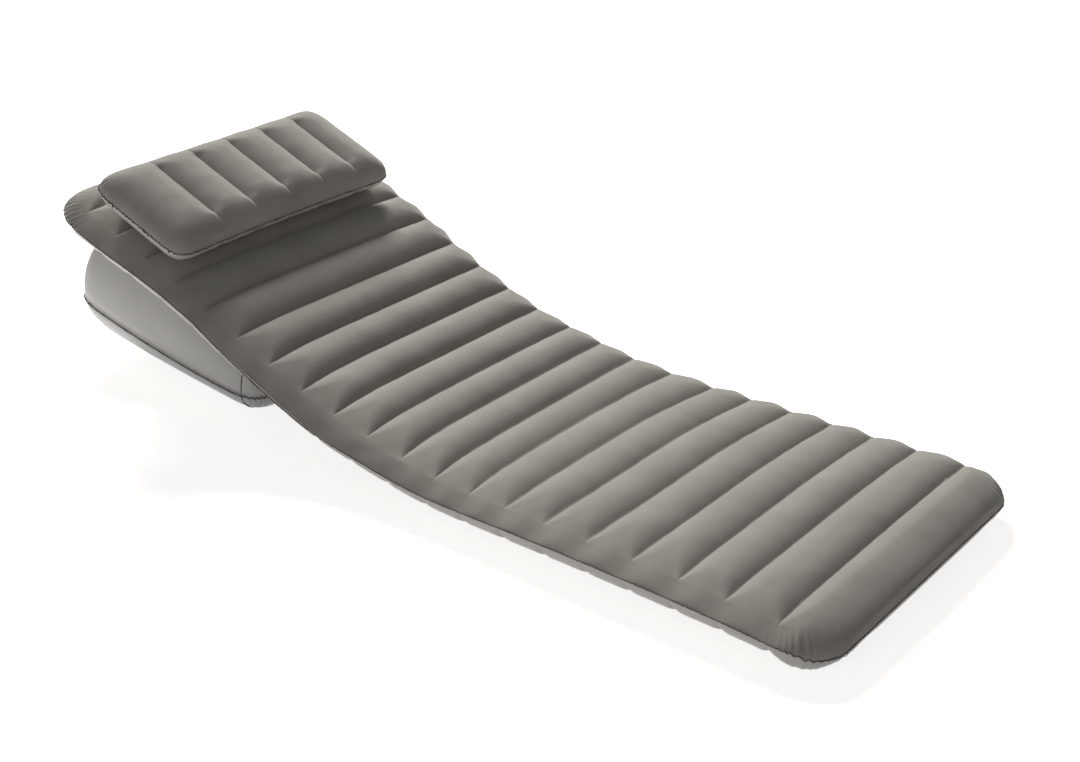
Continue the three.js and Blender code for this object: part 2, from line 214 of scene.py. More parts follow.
def spaced(marks: Sequence[float], spacing: Callable[[Array], Array]) -> Array:
    """Return places from the first mark to the last that pass through every mark.

    Args:
        marks: Rising places in millimetres.
        spacing: How far apart the places should lie, for each place.

    Returns:
        The places.
    """
    places = [np.array([marks[0]])]
    for start, end in zip(marks[:-1], marks[1:]):
        fine = np.linspace(start, end, 1200)
        shares = (fine[1] - fine[0]) / spacing((fine[1:] + fine[:-1]) / 2)
        steps = np.concatenate([[0.0], np.cumsum(shares)])
        count = max(1, math.ceil(steps[-1]))
        places.append(np.interp(np.linspace(0.0, steps[-1], count + 1)[1:], steps, fine))
    return np.concatenate(places)


# Air chambers


@dataclass(frozen=True)
class Seat:
    """A flat place on a sheet for a valve: where it is, which way is out, how wide and how deep it is."""

    centre: tuple[float, float, float]
    out: tuple[float, float, float]
    flat: float = 14.0
    fade: float = 34.0
    hole: float = 8.0
    depth: float = 60.0

    def settle(self, points: Array) -> Array:
        """Lay the sheet flat under the valve's flange.

        Args:
            points: The sheet's points, in millimetres.

        Returns:
            The points, with those round the valve moved.
        """
        out = np.array(self.out) / np.linalg.norm(self.out)
        apart = points - np.array(self.centre)
        height = apart @ out
        away = np.linalg.norm(apart - height[..., None] * out, axis=-1)
        near = (1.0 - smoothstep(away, self.flat, self.fade)) * (np.abs(height) < self.depth)
        return points - (near * height)[..., None] * out

    def open(self, points: Array, faces: Array) -> Array:
        """Return the faces without those inside the valve's hole."""
        centres = points[faces].mean(axis=1)
        return faces[np.linalg.norm(centres - np.array(self.centre), axis=1) > self.hole]


@dataclass(frozen=True)
class Spots:
    """Places on a chamber: u along it and v across it, and how they lie to its seam.

    across is where a place lay on the rectangle, before the corners were drawn round. inside is the
    distance in from the seam, end_share is 1 at the ends and 0 at the sides, edge is 1 on the seam,
    seam is measured along it, and corner is 1 in the middle of a corner.
    """

    across: Array
    u: Array
    v: Array
    inside: Array
    end_share: Array
    edge: Array
    seam: Array
    corner: Array


@dataclass(frozen=True)
class Swell:
    """How a sheet domes down to the seam: how far in the dome reaches and how full it is.

    near and far are reaches at the two sides, each at the foot and at the head of the chamber. foot and
    head are reaches at the ends. A higher power makes a fuller dome, and tuck shortens it in the corners.
    """

    near: tuple[float, float]
    far: tuple[float, float]
    foot: float
    head: float
    near_power: float
    far_power: float
    end_power: float
    tuck: float = 0.0
    corner_power: float = 0.0

    def dome(self, spots: Spots, length: float) -> Array:
        """Work out how full the sheet stands.

        Args:
            spots: The places on the chamber.
            length: The chamber's length.

        Returns:
            0 at the seam and 1 where the sheet stands at its full height.
        """
        along = spots.u / length
        over = smoothstep(spots.v, -MIDDLE_BAND, MIDDLE_BAND)
        near = self.near[0] + (self.near[1] - self.near[0]) * along
        far = self.far[0] + (self.far[1] - self.far[0]) * along
        side = near + (far - near) * over
        side_power = self.near_power + (self.far_power - self.near_power) * over
        end = np.where(along < 0.5, self.foot, self.head)
        reach = (side + (end - side) * spots.end_share) * (1.0 - self.tuck * spots.corner)
        power = side_power + (self.end_power - side_power) * spots.end_share
        power = power + self.corner_power * spots.corner
        share = np.clip(1.0 - spots.inside / reach, 0.0, 1.0)
        return (1.0 - share**2) ** (1.0 / power)


@dataclass(frozen=True)
class Creases:
    """How the creases of a sheet run: their lowest line, and where the sharp fold in them ends.

    level is how far the line lies under the crowns where it leaves the edge, and middle how far farther
    in. tip and far_tip are where the fold ends at the two sides, fade how softly it does, and start how
    far in the creases reach their whole depth.
    """

    level: float
    middle: float
    edge_reach: float
    edge_power: float
    tip: float
    far_tip: float
    fade: float
    start: float = 0.0


@dataclass
class Chamber:
    """One air chamber seen flat: its outline, its creases and how its two sheets swell off the seam.

    Heights are measured from the middle plane between the two crease planes.
    """

    length: float
    width: float
    waist: float
    reach: float
    tops: Surface
    depth: float
    seams: Surface
    top_swell: Swell
    bottom_swell: Swell
    creases: tuple[float, ...] = ()
    span: float = 0.0
    rise: float = 0.0
    top_creases: Optional[Creases] = None
    bottom_creases: Optional[Creases] = None
    shift: Optional[Callable[[float, Array], Array]] = None
    crimp: float = 1.3
    crimp_length: float = 8.3
    crimp_reach: float = 15.0
    side_crimp: float = 0.12
    end_crimp: tuple[float, float] = (0.35, 0.35)
    corner_powers: tuple[float, float, float, float] = (4.3, 4.3, 4.3, 4.3)
    bow: float = 0.0
    floor: Optional[float] = None
    seed: float = 0.0
    cell: float = 4.0
    column: float = 4.0
    column_mark: float = 34.0

    def rows(self, start: float, end: float) -> Array:
        """Set out the rows across the creases between two cuts.

        Args:
            start: Where the first row lies, along the chamber.
            end: Where the last row lies.

        Returns:
            The places of the rows, closest together at a seam or a crease.
        """
        creases = np.array(self.creases)

        def spacing(at: Array) -> Array:
            """Return how far apart the rows should lie at each place."""
            gap = np.minimum(SEAM_CELL + np.sqrt(np.minimum(at, self.length - at)), self.cell)
            if not self.creases:
                return gap
            fold = np.abs(at[:, None] - creases).min(axis=1)
            return np.minimum(gap, CREASE_CELL + 0.2 * fold)

        marks = [start, *[c for c in self.creases if start < c < end], end]
        return spaced(marks, spacing)

    def columns(self) -> Array:
        """Set out the columns along the chamber.

        Returns:
            The places of the columns, from one side seam to the other, closest together at the seams.
        """
        half = self.width / 2
        fine, zone, growth = 3.0, 85.0, 0.08

        def spacing(at: Array) -> Array:
            """Return how far apart the columns should lie at each place."""
            edge = half - np.abs(at)
            inner = fine + np.maximum(0.0, edge - zone) * growth
            return np.minimum(np.minimum(SEAM_CELL + np.sqrt(edge), inner), self.column)

        right = spaced([0.0, half - self.column_mark, half], spacing)
        return np.concatenate([-right[:0:-1], right])

    def outline(self, along: Array, across: Array) -> Spots:
        """Draw the corners round and the sides in.

        Args:
            along: Distances from the foot of the chamber, on its rectangle.
            across: Distances from its middle line, on its rectangle.

        Returns:
            Where each place comes to lie, and how near to which part of the seam it is.
        """
        half, reach = self.width / 2, self.reach
        side_gap, end_gap = half - np.abs(across), np.minimum(along, self.length - along)
        side = np.clip(1.0 - side_gap / reach, 0.0, 1.0)
        end = np.clip(1.0 - end_gap / reach, 0.0, 1.0)
        edge = np.maximum(side, end)
        both = (side > 0.0) & (end > 0.0)
        near_foot, far_foot, near_head, far_head = self.corner_powers
        foot = along < self.length / 2
        near = np.where(foot, near_foot, near_head)
        far = np.where(foot, far_foot, far_head)
        power = np.where(across < 0, near, far)
        norm = (side**power + end**power) ** (1.0 / power)
        pull = np.where(both, edge / np.where(norm > 0.0, norm, 1.0), 1.0)
        u = np.where(end > 0.0, reach * (1.0 - end * pull), end_gap)
        u = np.where(foot, u, self.length - u)
        v = np.where(side > 0.0, half - reach * (1.0 - side * pull), np.abs(across))
        inside = np.where(edge > 0.0, reach * (1.0 - edge), np.minimum(side_gap, end_gap))
        side_room, end_room = half - v, np.minimum(u, self.length - u)
        end_share = side_room**2 / (side_room**2 + end_room**2 + 0.01)
        out = 1.0 - (v / half) ** 2
        line = u - self.bow * out * np.exp(-u / BOW_FADE)
        middle = 2.0 * u / self.length - 1.0
        v = np.sign(across) * v * (half - self.waist * (1.0 - middle**2)) / half
        turn = np.arctan2(end, side)
        corner = np.where(both, np.sin(2.0 * turn) ** 2, 0.0)
        back = -CORNER_SEAM * reach * turn / (math.pi / 2)
        end_part = -CORNER_SEAM * reach - (half - reach - np.abs(across))
        seam = np.where(both, back, np.where(end > side, end_part, end_gap - reach))
        quarter = FAR_SHIFT * (across > 0) + HEAD_SHIFT * ~foot
        return Spots(across, line, v, inside, end_share, edge, seam + quarter, corner)

    def crimps(self, spots: Spots) -> Array:
        """Work out the small gathers of the seam, which come in patches.

        Args:
            spots: The places on the chamber.

        Returns:
            How far the gathers lift the sheet, in millimetres.
        """
        first, last = 5.0, self.reach * 0.9
        foot = (1.0 - smoothstep(spots.u, first, last)) * self.end_crimp[0]
        head = smoothstep(spots.u, self.length - last, self.length - first) * self.end_crimp[1]
        slow, quick = spots.seam / 61.0, spots.seam / 23.0
        patches = 0.5 * np.sin(slow + 2.0 * self.seed) * np.sin(quick + self.seed)
        amount = spots.corner + (self.side_crimp + foot + head) * (0.5 + patches)
        gather = waves(spots.seam, self.crimp_length, self.seed)
        fade = np.exp(-((spots.inside / self.crimp_reach) ** 1.4))
        return self.crimp * np.minimum(amount, 1.1) * gather * fade

    def arc(self, away: Array) -> Array:
        """Draw the crown between two creases.

        Args:
            away: Distances from the crease, as shares of the fold's half width.

        Returns:
            0 on the crease, rising to 1 where the fold ends.
        """
        rise = 2.0 * self.rise / self.span
        radius = (1.0 + rise * rise) / (2.0 * rise)
        share = 1.0 - np.minimum(1.0, away)
        return (np.sqrt(radius * radius - share * share) - (radius - rise)) / rise

    def heights(self, side: Side, spots: Spots) -> Array:
        """Return how high a sheet stands off the middle plane.

        Args:
            side: Which sheet.
            spots: The places on the chamber.

        Returns:
            The heights, in millimetres, positive towards the top.
        """
        seams = self.seams(spots.u, spots.v)
        way = side.value
        if side is Side.TOP:
            full, swell, lines = self.tops(spots.u, spots.v), self.top_swell, self.top_creases
        else:
            full, swell, lines = -self.depth, self.bottom_swell, self.bottom_creases
        dome = seams + (full - seams) * swell.dome(spots, self.length)
        if lines is None:
            return dome
        inside = spots.inside
        climb = 1.0 - (1.0 - np.clip(inside / lines.edge_reach, 0.0, 1.0)) ** lines.edge_power
        level = seams + (full - way * lines.level - seams) * climb
        shallower = way * (lines.level - lines.middle)
        level = level + shallower * smoothstep(inside, lines.edge_reach, INNER_REACH)
        total = np.maximum(0.0, (dome - level) * way) * smoothstep(inside, -0.1, lines.start + 0.1)
        tip = np.where(spots.across < 0.0, lines.tip, lines.far_tip)
        sharp = 1.0 - np.exp(-np.maximum(0.0, inside - tip) / lines.fade)
        fold = total * sharp
        half_span = self.span / 2
        width = np.clip(half_span * fold / lines.middle, NARROWEST_FOLD, half_span)
        height = dome
        for crease in self.creases:
            moved = self.shift(crease, spots.across) if self.shift and side is Side.TOP else 0.0
            away = np.abs(spots.u - crease - moved)
            soft = 0.5 + 0.5 * np.cos(math.pi * np.minimum(1.0, away / half_span))
            lowered = dome - way * ((total - fold) * soft + fold * (1.0 - self.arc(away / width)))
            height = np.minimum(height, lowered) if side is Side.TOP else np.maximum(height, lowered)
        return height

    def sheet(self, side: Side, start: float, end: float) -> tuple[Array, Array, Array, tuple[int, int]]:
        """Work out one sheet between two cuts, still flat.

        Args:
            side: Which sheet.
            start: Where it begins along the chamber.
            end: Where it ends.

        Returns:
            The places along, across and up, and the numbers of rows and columns.
        """
        along, across = np.meshgrid(self.rows(start, end), self.columns(), indexing="ij")
        shape = along.shape
        along, across = along.ravel(), across.ravel()
        spots = self.outline(along, across)
        height = self.heights(side, spots) + self.crimps(spots)
        flat = np.stack([spots.u, spots.v], axis=1)
        uneven = 0.3 * rough(flat, size=70.0, seed=11 + side.value)
        height = height + uneven * (1.0 - spots.edge**4)
        if self.floor is not None and side is Side.BOTTOM:
            height = np.maximum(height, self.floor)
        return spots.u, spots.v, height, shape

    def seam_line(self, start: float, end: float) -> tuple[Array, Array, Array]:
        """Walk round the seam between two cuts.

        Args:
            start: Where the part of the chamber begins.
            end: Where it ends.

        Returns:
            The places along, across and up.
        """
        half = self.width / 2
        low, high = max(start, 0.0), min(end, self.length)
        runs = [((low, -half), (high, -half))]
        if end >= self.length:
            runs.append(((high, -half), (high, half)))
        runs.append(((high, half), (low, half)))
        if start <= 0.0:
            runs.append(((low, half), (low, -half)))
        path: list[Array] = []
        for first, last in runs:
            count = max(2, int(math.dist(first, last) / STRIP_STEP))
            share = np.linspace(0.0, 1.0, count, endpoint=False)[:, None]
            path.append(np.array(first) * (1 - share) + np.array(last) * share)
        closed = start <= 0.0 and end >= self.length
        if not closed:
            cut = len(path[0]) + (len(path[1]) if end >= self.length else 0)
            line = np.concatenate(path + [np.array([runs[-1][1]])])
            if end < self.length:
                line = np.concatenate([line[cut:-1], line[:cut], np.array([[high, -half]])])
            path = [line]
        line = np.concatenate(path)
        spots = self.outline(line[:, 0], line[:, 1])
        return spots.u, spots.v, self.seams(spots.u, spots.v) + self.crimps(spots)


def strip(
    name: str,
    points: Array,
    out: Array,
    up: Array,
    closed: bool,
    seed: int,
    size: float = 1.0,
    ragged: float = 0.25,
) -> bpy.types.Object:
    """Make the thin welded edge that runs along a seam.

    Args:
        name: The object's name.
        points: The seam's line, in millimetres.
        out: The way out of the chamber at each point.
        up: The way up at each point.
        closed: Whether the line meets its own start.
        seed: Chooses the unevenness.
        size: 1 for the usual width.
        ragged: How far the small gathers push it up and out, in millimetres.

    Returns:
        A closed tube, slightly ragged, wider than it is high.
    """
    sides = 8
    wide = size * (0.85 + 0.45 * rough(points, 7.0, seed))
    high = size * (0.75 + 0.22 * rough(points, 4.5, seed + 1))
    lift = 0.35 * rough(points, 6.0, seed + 2)
    walked = np.concatenate([[0.0], np.cumsum(np.linalg.norm(np.diff(points, axis=0), axis=1))])
    gather = ragged * waves(walked, 9.0, float(seed))
    points = points + up * gather[:, None] + out * np.abs(gather)[:, None]
    rings = []
    for index in range(sides):
        turn = 2.0 * math.pi * index / sides
        sideways = 0.5 + wide * math.cos(turn)
        upwards = lift + high * math.sin(turn)
        rings.append(points + out * sideways[:, None] + up * upwards[:, None])
    stack = np.stack(rings, axis=1).reshape(-1, 3)
    count = len(points)
    faces = []
    for index in range(count if closed else count - 1):
        here, after = index * sides, (index + 1) % count * sides
        for corner in range(sides):
            beside = (corner + 1) % sides
            faces.append([here + corner, after + corner, after + beside, here + beside])
    piece = mesh_object(name, stack, np.array(faces))
    only(piece)
    bpy.ops.object.mode_set(mode="EDIT")
    bpy.ops.mesh.select_all(action="SELECT")
    bpy.ops.mesh.fill_holes(sides=sides)
    bpy.ops.mesh.select_all(action="SELECT")
    bpy.ops.mesh.normals_make_consistent(inside=False)
    bpy.ops.object.mode_set(mode="OBJECT")
    report(piece)
    return piece


# Finishes


def cleared(owner: bpy.types.Material | bpy.types.World) -> bpy.types.NodeTree:
    """Empty the node tree of a material or a sky.

    Args:
        owner: The material or sky.

    Returns:
        Its node tree.
    """
    owner.use_nodes = True
    owner.node_tree.nodes.clear()
    return owner.node_tree


def node(tree: bpy.types.NodeTree, kind: str, operation: str = "", **values: object) -> bpy.types.Node:
    """Add a node to a tree.

    Args:
        tree: The node tree.
        kind: Which kind of node.
        operation: What a maths node does.
        values: Values for its sockets, by name.

    Returns:
        The new node.
    """
    made = tree.nodes.new(kind)
    if operation:
        made.operation = operation
    for key, value in values.items():
        made.inputs[key].default_value = value
    return made


def linear(red: int, green: int, blue: int) -> tuple[float, float, float, float]:
    """Turn a colour as it is written for a screen into a linear one.

    Args:
        red: From 0 to 255.
        green: From 0 to 255.
        blue: From 0 to 255.

    Returns:
        The linear colour, opaque.
    """

    def channel(value: int) -> float:
        """Return one channel as a linear share."""
        share = value / 255.0
        return share / 12.92 if share <= 0.04045 else ((share + 0.055) / 1.055) ** 2.4

    return channel(red), channel(green), channel(blue), 1.0


@dataclass(frozen=True)
class Finish:
    """A surface: two close colours that drift into each other, a fine grain and how it shines.

    drift, grain and swell_scale are noise scales; grain_depth and swell are depths in metres.
    """

    name: str
    light: tuple[int, int, int]
    dark: tuple[int, int, int]
    drift: float
    grain: float
    grain_depth: float
    roughness: tuple[float, float]
    specular: float = 0.5
    sheen: float = 0.0
    coat: float = 0.0
    swell: float = 0.0
    swell_scale: float = 14.0

    def material(self) -> bpy.types.Material:
        """Make the material, or find it where it is made already.

        Returns:
            The material, made of nodes.
        """
        made = bpy.data.materials.get(self.name)
        if made is not None:
            return made
        made = bpy.data.materials.new(self.name)
        tree = cleared(made)
        link = tree.links.new
        output = node(tree, "ShaderNodeOutputMaterial")
        shader = node(tree, "ShaderNodeBsdfPrincipled")
        where = node(tree, "ShaderNodeTexCoord").outputs["Object"]
        broad = node(tree, "ShaderNodeTexNoise", Scale=self.drift, Detail=4.0, Roughness=0.55)
        fine = node(tree, "ShaderNodeTexNoise", Scale=self.grain, Detail=3.0, Roughness=0.6)
        link(where, broad.inputs["Vector"])
        link(where, fine.inputs["Vector"])
        grain_share = 0.35
        blend = node(tree, "ShaderNodeMath", operation="MULTIPLY_ADD")
        blend.inputs[1].default_value = grain_share
        link(fine.outputs["Fac"], blend.inputs[0])
        link(broad.outputs["Fac"], blend.inputs[2])
        ramp = node(tree, "ShaderNodeValToRGB")
        for stop, position, colour in zip(ramp.color_ramp.elements, (0.42, 0.93), (self.dark, self.light)):
            stop.position = position
            stop.color = linear(*colour)
        link(blend.outputs[0], ramp.inputs["Fac"])
        link(ramp.outputs["Color"], shader.inputs["Base Color"])
        rough_range = node(tree, "ShaderNodeMapRange")
        rough_range.inputs["To Min"].default_value = self.roughness[0]
        rough_range.inputs["To Max"].default_value = self.roughness[1]
        link(broad.outputs["Fac"], rough_range.inputs["Value"])
        link(rough_range.outputs["Result"], shader.inputs["Roughness"])
        last = node(tree, "ShaderNodeBump", Strength=0.5, Distance=self.grain_depth)
        link(fine.outputs["Fac"], last.inputs["Height"])
        if self.swell > 0.0:
            wide = node(tree, "ShaderNodeTexNoise", Scale=self.swell_scale, Detail=2.0, Roughness=0.5)
            link(where, wide.inputs["Vector"])
            second = node(tree, "ShaderNodeBump", Strength=0.5, Distance=self.swell)
            link(wide.outputs["Fac"], second.inputs["Height"])
            link(last.outputs["Normal"], second.inputs["Normal"])
            last = second
        link(last.outputs["Normal"], shader.inputs["Normal"])
        settings = {
            "Specular IOR Level": self.specular,
            "Sheen Weight": self.sheen,
            "Sheen Roughness": 0.4,
            "Sheen Tint": (1.0, 0.985, 0.96, 1.0),
            "Coat Weight": self.coat,
            "Coat Roughness": 0.35,
        }
        for socket, value in settings.items():
            shader.inputs[socket].default_value = value
        link(shader.outputs["BSDF"], output.inputs["Surface"])
        return made

    def dress(self, piece: bpy.types.Object) -> None:
        """Put the material on every slot of a piece.

        Args:
            piece: The piece.
        """
        made = self.material()
        if not piece.material_slots:
            piece.data.materials.append(made)
        for place in piece.material_slots:
            place.material = made


@dataclass(frozen=True)
class Finishes:
    """The finishes of the bed."""

    flock: Finish = Finish(
        name="flock",
        light=(160, 156, 149),
        dark=(147, 143, 136),
        drift=9.0,
        grain=1400.0,
        grain_depth=0.0006,
        roughness=(0.88, 0.98),
        specular=0.15,
        sheen=0.25,
        swell=0.0012,
        swell_scale=30.0,
    )
    vinyl: Finish = Finish(
        name="vinyl",
        light=(194, 191, 186),
        dark=(184, 181, 176),
        drift=7.0,
        grain=900.0,
        grain_depth=0.00008,
        roughness=(0.36, 0.5),
        specular=0.45,
        coat=0.12,
        swell=0.0012,
    )
    # The wedge's vinyl is a lighter copy of the vinyl above. Its lightness is partly the wedge's own
    # colour and partly painted light that brightens the wedge's dimly lit side.
    smooth: Finish = replace(vinyl, name="wedge_vinyl_painted_light", light=(203, 201, 198), dark=(195, 193, 190))
    # Welds: dark in their own colour, and darker still as painted shade standing in for the shadow in the
    # fold along each seam.
    weld: Finish = Finish(
        name="weld",
        light=(98, 94, 88),
        dark=(76, 72, 66),
        drift=60.0,
        grain=1500.0,
        grain_depth=0.0003,
        roughness=(0.7, 0.9),
        specular=0.25,
    )
    web: Finish = Finish(
        name="web",
        light=(206, 204, 199),
        dark=(196, 194, 189),
        drift=12.0,
        grain=700.0,
        grain_depth=0.0001,
        roughness=(0.45, 0.6),
    )
    moulded: Finish = Finish(
        name="moulded",
        light=(150, 148, 144),
        dark=(140, 138, 134),
        drift=25.0,
        grain=1200.0,
        grain_depth=0.00006,
        roughness=(0.34, 0.46),
    )
    soft: Finish = Finish(
        name="soft_rubber",
        light=(122, 120, 116),
        dark=(112, 110, 106),
        drift=25.0,
        grain=1200.0,
        grain_depth=0.0001,
        roughness=(0.5, 0.65),
    )

    def sheets(self) -> tuple[tuple[Side, str, Finish, str], ...]:
        """Tell the two sheets of a flocked chamber apart.

        Returns:
            For each sheet its side, its word in a name, its finish and its slot.
        """
        return (
            (Side.TOP, "top", self.flock, "flocked_sheet"),
            (Side.BOTTOM, "bottom", self.vinyl, "plain_sheet"),
        )


# Sheets and seams


def closed_sheet(
    name: str, points: Array, shape: tuple[int, int], side: Side, finish: Finish, seat: Optional[Seat]
) -> bpy.types.Object:
    """Make one sheet of a chamber, closed and dressed.

    Args:
        name: The object's name.
        points: Its places in millimetres, row by row.
        shape: The numbers of rows and columns.
        side: Which sheet, so that its faces turn outwards.
        finish: What it is dressed in.
        seat: The seat of a valve in it, if it has one.

    Returns:
        The sheet.
    """
    faces = grid_faces(*shape, flipped=side is Side.BOTTOM)
    if seat is not None:
        points = seat.settle(points)
        faces = seat.open(points, faces)
    piece = mesh_object(name, points, faces)
    thicken(piece)
    finish.dress(piece)
    report(piece)
    return piece


def seam_ways(points: Array, closed: bool) -> tuple[Array, Array]:
    """Work out the ways out and up along a seam.

    Args:
        points: The seam's line, in millimetres.
        closed: Whether the line meets its own start.

    Returns:
        The ways out of the chamber and up, one row each.
    """
    if closed:
        ahead = np.roll(points, -2, axis=0) - np.roll(points, 2, axis=0)
    else:
        kernel = np.ones(5) / 5
        ahead = np.pad(np.gradient(points, axis=0), ((2, 2), (0, 0)), mode="edge")
        ahead = np.stack([np.convolve(ahead[:, k], kernel, mode="valid") for k in range(3)], axis=1)
    ahead /= np.linalg.norm(ahead, axis=1)[:, None]
    upright = np.tile([0.0, 0.0, 1.0], (len(points), 1))
    out = np.cross(upright, ahead)
    out /= np.linalg.norm(out, axis=1)[:, None]
    middle = points.mean(axis=0)
    outward = ((points - middle) * out).sum(axis=1)
    out *= np.sign(outward)[:, None]
    up = np.cross(ahead, out)
    up *= np.sign(up[:, 2])[:, None]
    return out, up


# Mattress


def between(marks: dict[float, float], at: Array) -> Array:
    """Return the value at each place, straight between the marks."""
    return np.interp(at, list(marks), list(marks.values()))


@dataclass(frozen=True)
class Part:
    """One part of the mattress: its cuts, the bodies that it bends between, its nodes and its webs.

    reach holds where the bending starts and ends, along x in metres.
    """

    name: str
    start: float
    end: float
    bodies: tuple[str, str]
    reach: tuple[float, float]
    nodes: tuple[str, ...]
    webs: range


@dataclass
class Mattress:
    """The channelled mattress: flat for the legs, bent up in two soft bends over the wedge."""

    finishes: Finishes
    length: float = 1892.0
    width: float = 724.0
    foot_margin: float = 104.0
    pitch: float = 90.0
    crease_count: int = 20
    web_height: float = 52.0
    web_margin: float = 62.0
    rise: float = 20.0
    foot_x: float = 949.74
    pivot_height: float = 19.65
    bends: tuple[tuple[int, float], ...] = ((9, 10.5), (12, 11.3))
    bend_reach: float = 105.0
    split_crease: int = 10
    seat: Seat = Seat((-596.64, 348.87, 259.56), (-0.0795186, 0.9329993, -0.3509831))

    def __post_init__(self) -> None:
        """Lay out the creases, the path that the bottom crease plane follows and the chamber."""
        self.creases = tuple(self.foot_margin + self.pitch * i for i in range(self.crease_count))
        self.path_u = np.linspace(0.0, self.length, int(2 * self.length) + 1)
        angle = np.zeros_like(self.path_u)
        for crease, degrees in self.bends:
            at = self.creases[crease - 1]
            start, end = at - self.bend_reach, at + self.bend_reach
            angle += math.radians(degrees) * smoothstep(self.path_u, start, end)
        step = self.path_u[1] - self.path_u[0]
        middle = (angle[1:] + angle[:-1]) / 2
        self.path_angle = angle
        self.path_x = self.foot_x - np.concatenate([[0.0], np.cumsum(np.cos(middle) * step)])
        self.path_z = self.pivot_height + np.concatenate([[0.0], np.cumsum(np.sin(middle) * step)])
        self.chamber = Chamber(
            length=self.length,
            width=self.width,
            waist=12.0,
            reach=140.0,
            tops=self.crowns,
            depth=self.web_height / 2 + self.rise,
            seams=self.seam_heights,
            top_swell=Swell(
                near=(140.0, 140.0),
                far=(108.0, 112.0),
                foot=98.0,
                head=92.0,
                near_power=1.4,
                far_power=2.0,
                end_power=1.9,
            ),
            bottom_swell=Swell(
                near=(95.0, 100.0),
                far=(95.0, 100.0),
                foot=132.0,
                head=100.0,
                near_power=1.6,
                far_power=1.6,
                end_power=1.3,
                tuck=0.45,
                corner_power=0.6,
            ),
            creases=self.creases,
            span=self.pitch,
            rise=self.rise,
            top_creases=Creases(
                level=20.0,
                middle=17.0,
                edge_reach=35.0,
                edge_power=1.2,
                tip=28.0,
                far_tip=14.0,
                fade=20.0,
            ),
            bottom_creases=Creases(
                level=20.0,
                middle=20.0,
                edge_reach=60.0,
                edge_power=2.4,
                tip=-60.0,
                far_tip=-60.0,
                fade=10.0,
            ),
            shift=self.shift,
            crimp=2.2,
            crimp_length=12.0,
            crimp_reach=20.0,
            corner_powers=(3.5, 3.1, 3.0, 3.4),
            bow=12.0,
            floor=-self.web_height / 2 - self.pivot_height + 0.05,
            seed=1.0,
            column_mark=28.0,
        )

    @staticmethod
    def far_share(v: Array) -> Array:
        """Return 0 up to just past the middle line and 1 at the far side."""
        return smoothstep(v, MIDDLE_BAND, 320.0)

    def seam_heights(self, u: Array, v: Array) -> Array:
        """Work out how high the seam lies, lower on the far side.

        Args:
            u: Places along the mattress.
            v: Places across it.

        Returns:
            The heights above the middle plane.
        """
        lifts = {0.0: -6.0, 30.0: -4.0, 60.0: 4.5, 110.0: 8.7, 190.0: 12.0, 300.0: 14.0, 500.0: 14.0}
        lifts |= {620.0: 12.5, 700.0: 11.0, 780.0: 10.0, 900.0: 5.0, 1060.0: 1.0, 1200.0: 1.5}
        lifts |= {1330.0: 6.0, 1450.0: 11.0, 1560.0: 9.0, 1700.0: 3.0, 1892.0: 3.0}
        return between(lifts, u) - 5.0 * self.far_share(v) * smoothstep(u, 30.0, 200.0)

    def crowns(self, u: Array, v: Array) -> Array:
        """Work out how high the crowns stand, fuller along the legs and lower along the far side.

        Args:
            u: Places along the mattress.
            v: Places across it.

        Returns:
            The heights above the middle plane.
        """
        loose = 4.0 * smoothstep(u, 90.0, 260.0) * (1.0 - smoothstep(u, 1250.0, 1400.0))
        far = self.far_share(v) * smoothstep(u, 100.0, 320.0) * (1.0 - smoothstep(u, 640.0, 820.0))
        return self.web_height / 2 + self.rise + (loose - 7.0 * far)

    def shift(self, crease: float, across: Array) -> Array:
        """Work out how far a crease wanders towards the head, in its middle and at its two ends.

        Args:
            crease: Where the crease starts from, along the mattress.
            across: Distances from the middle line.

        Returns:
            How far it lies from there, in millimetres.
        """
        number = (crease - self.foot_margin) / self.pitch + 1
        middle = {1: -4.0, 2: 2.0, 4: 3.0, 6: 8.0, 8: 10.0, 10: 9.0, 11: 5.0, 13: 8.0, 15: 1.0, 18: 0.0}
        near = {1: -6.0, 2: 3.0, 3: 3.0, 5: 11.0, 6: 12.0, 7: 8.0}
        near |= {8: -1.0, 9: -4.0, 11: -8.0, 13: -4.0, 17: -7.0}
        far = {1: -8.0, 2.5: 2.0, 4: -2.0, 7: -5.0, 9: 10.0, 10: 9.0, 11: 3.0, 12.5: 9.0, 14: 5.0, 16: 0.0}
        rest = between(middle, number)
        away = np.abs(across) / 330.0
        near_line = rest + (between(near, number) - rest) * away**3.5
        far_line = rest + (between(far, number) - rest) * away**2
        return np.where(across < 0, near_line, far_line)

    @staticmethod
    def swell(u: Array) -> Array:
        """Work out how far the back rises over the wedge's crown and sinks before it.

        Args:
            u: Places along the mattress.

        Returns:
            The rise at each place, in millimetres.
        """
        lifts = {0.0: 0.0, 1020.0: 0.0, 1184.0: -4.0, 1274.0: -5.0, 1364.0: -1.0, 1454.0: 6.0}
        lifts |= {1544.0: 8.0, 1634.0: 6.0, 1724.0: 1.0, 1814.0: -2.0, 1892.0: -4.0}
        fine = np.linspace(0.0, Mattress.length, int(Mattress.length / 2) + 1)
        ends = 20
        window = np.hanning(2 * ends + 1)
        padded = np.pad(between(lifts, fine), ends, mode="edge")
        return np.interp(u, fine, np.convolve(padded, window / window.sum(), mode="valid"))

    def place(self, side: Side) -> Place:
        """Choose how a flat sheet is bent onto the path.

        Args:
            side: Which sheet.

        Returns:
            A function that turns places along, across and up into points.
        """

